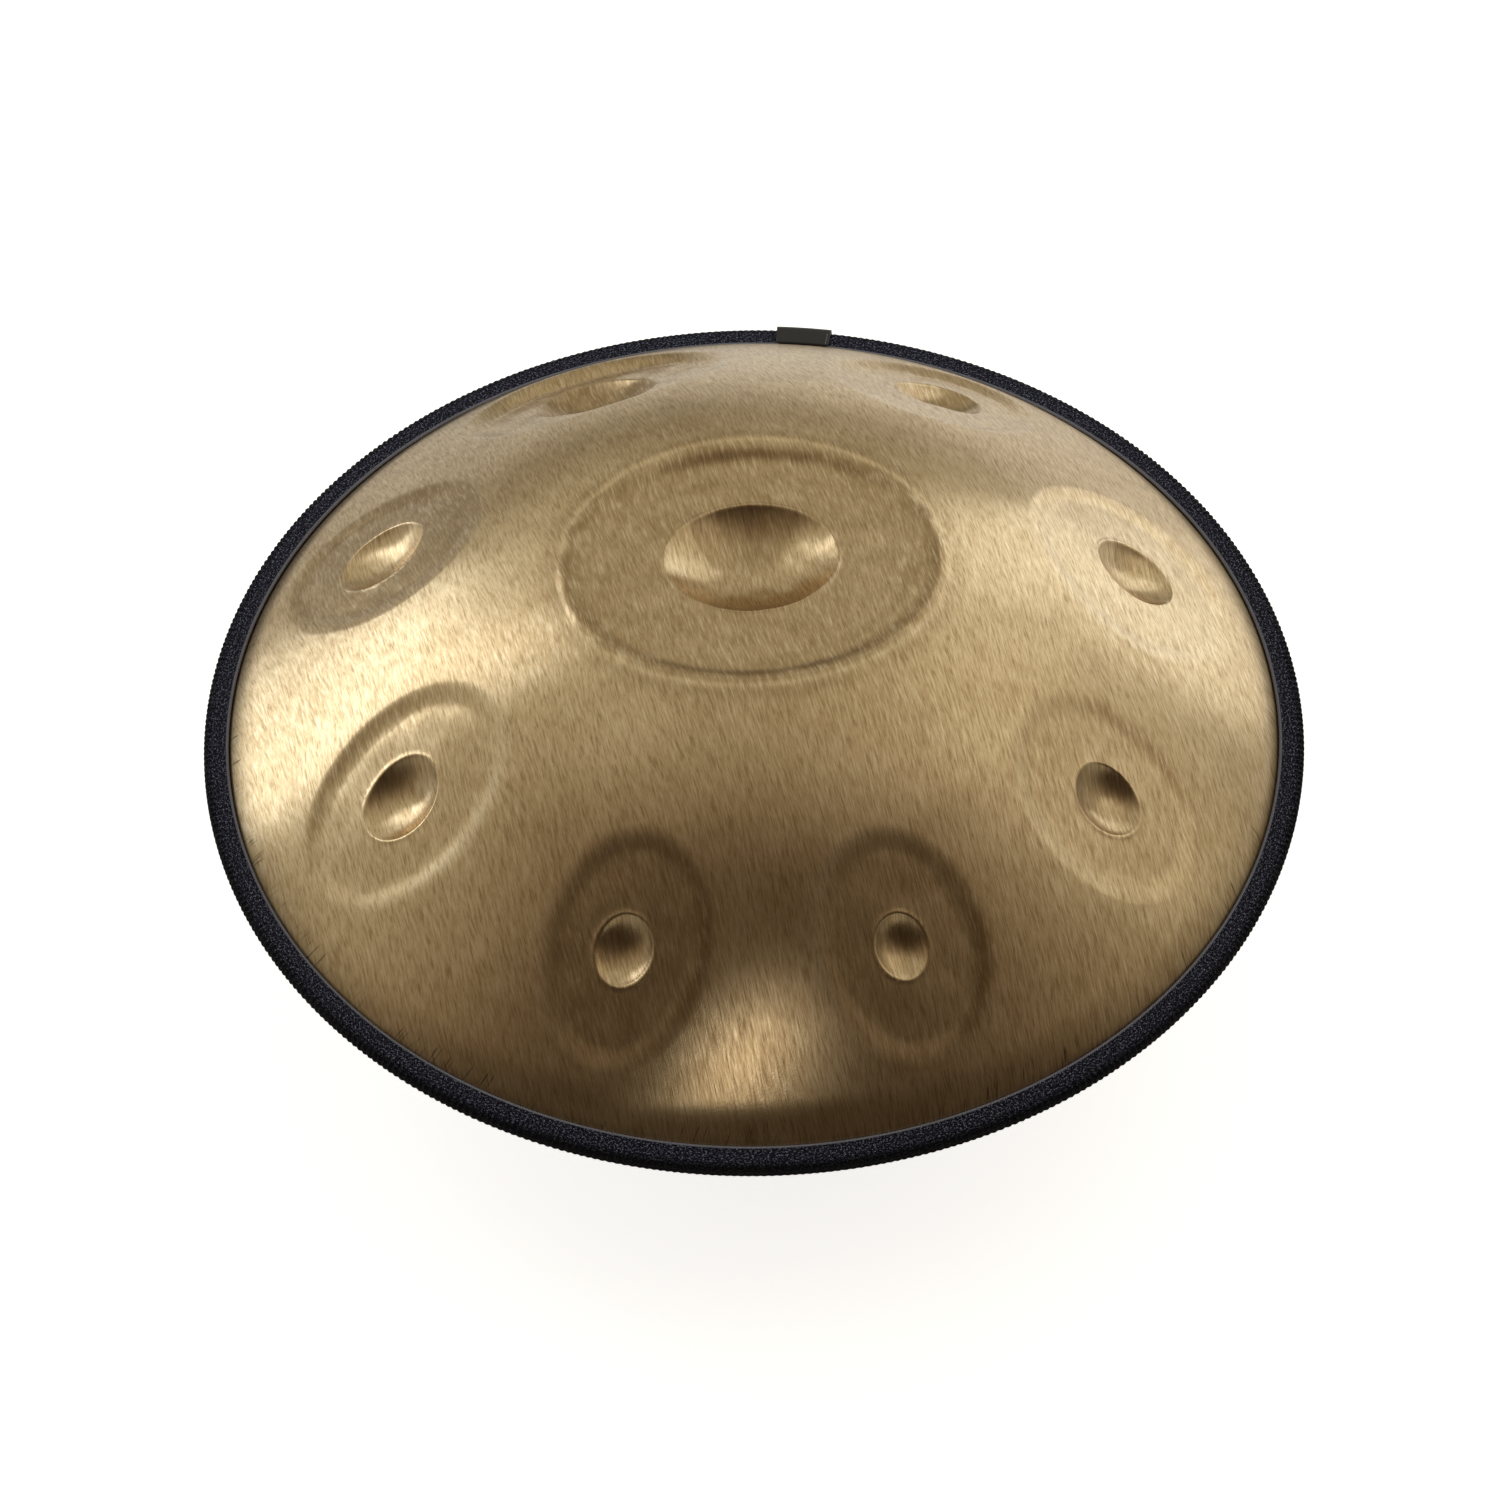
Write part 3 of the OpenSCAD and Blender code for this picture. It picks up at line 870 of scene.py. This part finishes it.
def rim_ticks(n, place):
    """Short dark scratches across the foot beside the tape, in patches: 1 on a scratch."""
    parts = n.split(place)
    radius = n.math("SQRT", n.math("ADD", n.math("MULTIPLY", parts[0], parts[0]),
                                   n.math("MULTIPLY", parts[1], parts[1])))
    round_rim = n.math("MULTIPLY", n.math("ARCTAN2", parts[1], parts[0]), RIM_R * MM)
    leaning = n.math("ADD", round_rim, n.math("MULTIPLY", radius, TICK_LEAN))
    polar = n.add("ShaderNodeCombineXYZ", {0: leaning, 1: radius}).outputs[0]
    reach = n.noise(n.mapped(polar, scale=(500, 0, 0)), 1.0, 1.0)
    start = n.math("SUBTRACT", radius, n.math("MULTIPLY", reach, TICK_REACH))
    patch = n.fit(n.noise(place, 16.0, 1.0), 0.44, 0.52)
    scratch = n.noise(n.mapped(polar, scale=(900, 60, 0)), 1.0, 1.0)
    return n.math("MULTIPLY", n.math("MULTIPLY", n.fit(start, *TICKS_FROM), patch),
                  n.fit(scratch, 0.6, 0.7, 0.0, 0.8))


# The weave, in millimetres: width of a row, length of a wale and how much the rows slant it
ROW = 2.5
WALE = 1.3
SLANT = 1.1
# Painted shade of the weave's low parts and folds, painted glints and a painted selvedge highlight
TAPE_GAP_SHADE = (0.001, 0.001, 0.004, 1)
TAPE_YARN = (0.017, 0.019, 0.048, 1)
TAPE_GLINT = (0.46, 0.50, 0.74, 1)
TAPE_SELVEDGE_HIGHLIGHT = (0.45, 0.47, 0.60, 1)
TAPE_FOLD_SHADE = (0.001, 0.001, 0.002, 1)
TAPE_SHADE = (0.002, 0.002, 0.004, 1)


def woven_tape():
    """Blue-black herringbone webbing; its rows run along the rim."""
    material, n = new_material("tape_weave")
    uv = n.add("ShaderNodeUVMap", uv_map="rim_mm").outputs[0]
    parts = n.split(uv)
    along, across = parts[0], parts[1]
    zigzag = n.math("PINGPONG", across, ROW)
    phase = n.math("DIVIDE", n.math("ADD", along, n.math("MULTIPLY", zigzag, SLANT)), WALE)
    wale = n.math("SINE", n.math("MULTIPLY", phase, 2 * math.pi))
    thread = n.noise(n.mapped(uv, scale=(1.0, 1.4, 1)), 0.8, 3.0, 0.7)
    groove = n.math("PINGPONG", n.math("ADD", across, ROW / 2), ROW / 2)
    height = n.math("ADD", n.add_up((wale, 0.5), (thread, 0.9)), n.fit(groove, 0, 0.5, -0.6, 0.0))
    # Painted shade in the weave's low parts and between its rows
    colour = n.mix(n.fit(height, -0.2, 0.9), TAPE_GAP_SHADE, TAPE_YARN)
    # Painted glints on the yarn, brightest on the wales' crests
    speck = n.math("MULTIPLY", n.fit(thread, 0.53, 0.60), n.fit(wale, -0.6, 0.4, 0.3, 1.0))
    colour = n.mix(n.math("MULTIPLY", speck, 0.85), colour, TAPE_GLINT)
    # Painted highlight along the selvedge's rolled inner edge
    colour = n.mix(n.fit(across, 0.35, 1.0, 0.8, 0.0), colour, TAPE_SELVEDGE_HIGHLIGHT)
    # Painted shade in the gathers' folds
    colour = n.mix(n.fit(n.attribute("rib"), 0.2, -0.9, 0.0, 0.9), colour, TAPE_FOLD_SHADE)
    colour = n.mix(n.fit(across, FACE_W - 2.5, FACE_W + 1.5, 0.0, 0.85), colour, TAPE_SHADE)
    n.finish(base_color=colour, roughness=0.65, normal=n.bump(height, 1.0, 0.0004),
             specular_ior_level=0.1)
    return material


def plain(name, colour, roughness, grain, sheen=0.0):
    """A plain finish with fine grain in its colour and surface."""
    material, n = new_material(name)
    spots = n.noise(n.place(), grain, 3.0, 0.6)
    dark = tuple(c * 0.6 for c in colour) + (1,)
    n.finish(base_color=n.mix(spots, dark, colour + (1,)), normal=n.bump(spots, 0.4, 0.0001),
             roughness=n.fit(spots, 0.3, 0.7, roughness - 0.08, roughness + 0.08),
             sheen_weight=sheen)
    return material


def give(obj, material):
    obj.data.materials.clear()
    obj.data.materials.append(material)


# ---------------------------------------------------------------- the object

give(build_top_shell(), brushed_steel("top_steel", TOP_GOLD, TOP_BROWN))
give(build_bottom_shell(), brushed_steel("bottom_steel", BOTTOM_GOLD, BOTTOM_BROWN))
give(build_tape(), woven_tape())
give(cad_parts["rim_adhesive"], plain("adhesive", (0.62, 0.58, 0.42), 0.6, 900))
give(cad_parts["rim_edge_trim"], plain("trim_rubber", (0.02, 0.02, 0.022), 0.7, 1500))
give(build_tag(), plain("tag_ribbon", (0.012, 0.012, 0.016), 0.4, 2500, sheen=0.03))
give(build_stitches(), plain("tag_thread", (0.3, 0.3, 0.33), 0.7, 4000))


# ---------------------------------------------------------------- stage, light and camera

# The floor glows for the camera, to look pale, and faintly behind the object for the steel to
# reflect: from GLOW_Y on, in metres, and over GLOW_X from the share GLOW_LEFT to all of it
FLOOR_HALF = 6.0
FLOOR_SEEN = 0.8
FLOOR_GLOW = 0.45
GLOW_Y = (0.1, 0.45)
GLOW_X = (-0.2, 0.25)
GLOW_LEFT = 0.2


def build_floor():
    h = FLOOR_HALF
    mesh = bpy.data.meshes.new("floor")
    mesh.from_pydata([(-h, -h, 0), (h, -h, 0), (h, h, 0), (-h, h, 0)], [], [(0, 1, 2, 3)])
    floor = bpy.data.objects.new("floor", mesh)
    bpy.context.scene.collection.objects.link(floor)
    material, n = new_material("floor")
    seen = n.add("ShaderNodeLightPath").outputs["Is Camera Ray"]
    parts = n.split(n.place())
    glow = n.math("MULTIPLY", n.fit(parts[1], *GLOW_Y, 0.0, FLOOR_GLOW),
                  n.fit(parts[0], *GLOW_X, GLOW_LEFT, 1.0))
    unseen = n.math("MULTIPLY", glow, n.math("SUBTRACT", 1.0, seen))
    n.finish(base_color=(0.9, 0.9, 0.9, 1), roughness=0.9, specular_ior_level=0.0,
             emission_color=(1, 1, 1, 1),
             emission_strength=n.math("ADD", n.math("MULTIPLY", seen, FLOOR_SEEN), unseen))
    give(floor, material)


def add_lamp(name, kind, at, back, watts, colour):
    """A lamp at a point over the object's middle, its back turned along a vector; its data."""
    data = bpy.data.lights.new(name, kind)
    data.energy = watts
    data.color = colour
    lamp = bpy.data.objects.new(name, data)
    lamp.location = Vector((0, 0, RIM_Z * MM)) + at
    lamp.rotation_mode = "QUATERNION"
    lamp.rotation_quaternion = back.to_track_quat("Z", "Y")
    bpy.context.scene.collection.objects.link(lamp)
    return data


# Each softbox: azimuth from +X towards +Y and elevation in degrees, distance and size in
# metres, power in watts and colour
SOFTBOXES = [
    ("left_softbox", 149, 9, 2.3, (1.05, 1.1), 7.6, (0.88, 0.95, 1.0)),
    ("left_upper_softbox", 152, 34, 2.3, (0.6, 1.2), 3.8, (0.9, 0.95, 1.0)),
    ("right_softbox", 44, 9, 2.3, (1.1, 0.9), 4.0, (0.92, 0.97, 1.0)),
    ("right_upper_softbox", 52, 36, 2.3, (0.9, 1.0), 2.4, (0.92, 0.97, 1.0)),
    ("right_side_softbox", 12, 42, 2.3, (1.5, 1.5), 2.6, (1.0, 0.95, 0.85)),
]
SPOT_AT = Vector((-0.06, -1.68, 1.57))
SPOT_TO = Vector((-0.006, -0.250, 0.037))
SPOT_WATTS = 7.0
SPOT_CONE = math.radians(3.4)
SPOT_SIZE = 0.03
SPOT_COLOUR = (1.0, 0.93, 0.8)


def build_lights():
    """Soft boxes round the back, and a snooted lamp in front that lights the shell's near foot."""
    for name, azimuth, elevation, distance, size, watts, colour in SOFTBOXES:
        a, e = math.radians(azimuth), math.radians(elevation)
        way = Vector((math.cos(a) * math.cos(e), math.sin(a) * math.cos(e), math.sin(e)))
        data = add_lamp(name, "AREA", way * distance, way, watts, colour)
        data.shape = "RECTANGLE"
        data.size, data.size_y = size
    data = add_lamp("front_spot", "SPOT", SPOT_AT, SPOT_AT - SPOT_TO, SPOT_WATTS, SPOT_COLOUR)
    data.shadow_soft_size = SPOT_SIZE
    data.spot_size = SPOT_CONE
    data.spot_blend = 1.0


# The studio's walls brighten over BEHIND, the view direction's part towards +Y, and over HIGH,
# its part upwards, from LOW_SHARE at the floor
WALLS = (1.0, 0.93, 0.74, 1)
WALLS_BRIGHT = 0.55
WALLS_DARK = 0.055
FRONT = (1.0, 0.72, 0.48, 1)
BEHIND = (-0.7, 0.15)
HIGH = (0.0, 0.4)
LOW_SHARE = 0.5


def build_world():
    """A studio with pale walls and ceiling behind the object and darkness in front of it."""
    world = bpy.data.worlds.new("studio")
    bpy.context.scene.world = world
    world.use_nodes = True
    n = Nodes(world.node_tree)
    parts = n.split(n.add("ShaderNodeTexCoord").outputs["Generated"])
    behind = n.fit(parts[1], *BEHIND, how="SMOOTHSTEP")
    high = n.fit(parts[2], *HIGH, LOW_SHARE, how="SMOOTHSTEP")
    glow = n.fit(n.math("MULTIPLY", behind, high), 0, 1, WALLS_DARK, WALLS_BRIGHT)
    seen = n.add("ShaderNodeLightPath").outputs["Is Camera Ray"]
    background = n.tree.nodes["Background"].inputs
    n.set(background["Color"], n.mix(seen, n.mix(behind, FRONT, WALLS), (1, 1, 1, 1)))
    n.set(background["Strength"], n.math("MAXIMUM", glow, seen))


# The camera's place and target in metres, over the rim's middle; its lens and sensor in mm
CAMERA_AT = Vector((0, -1.4265, 1.676))
CAMERA_TO = Vector((-0.002, 0, -0.024))
CAMERA_ROLL = math.radians(-0.8)
CAMERA_LENS = 104.16
CAMERA_SENSOR = 36


def build_camera():
    data = bpy.data.cameras.new("camera")
    data.lens = CAMERA_LENS
    data.sensor_width = CAMERA_SENSOR
    camera = bpy.data.objects.new("camera", data)
    back = (CAMERA_AT - CAMERA_TO).normalized()
    right = Vector((0, 0, 1)).cross(back).normalized()
    up = back.cross(right)
    c, s = math.cos(CAMERA_ROLL), math.sin(CAMERA_ROLL)
    axes = Matrix((right * c + up * s, up * c - right * s, back)).transposed()
    at = Matrix.Translation(CAMERA_AT + Vector((0, 0, RIM_Z * MM)))
    camera.matrix_world = at @ axes.to_4x4()
    bpy.context.scene.collection.objects.link(camera)
    bpy.context.scene.camera = camera


build_floor()
build_world()
build_lights()
build_camera()
bpy.context.scene.view_settings.view_transform = "Standard"
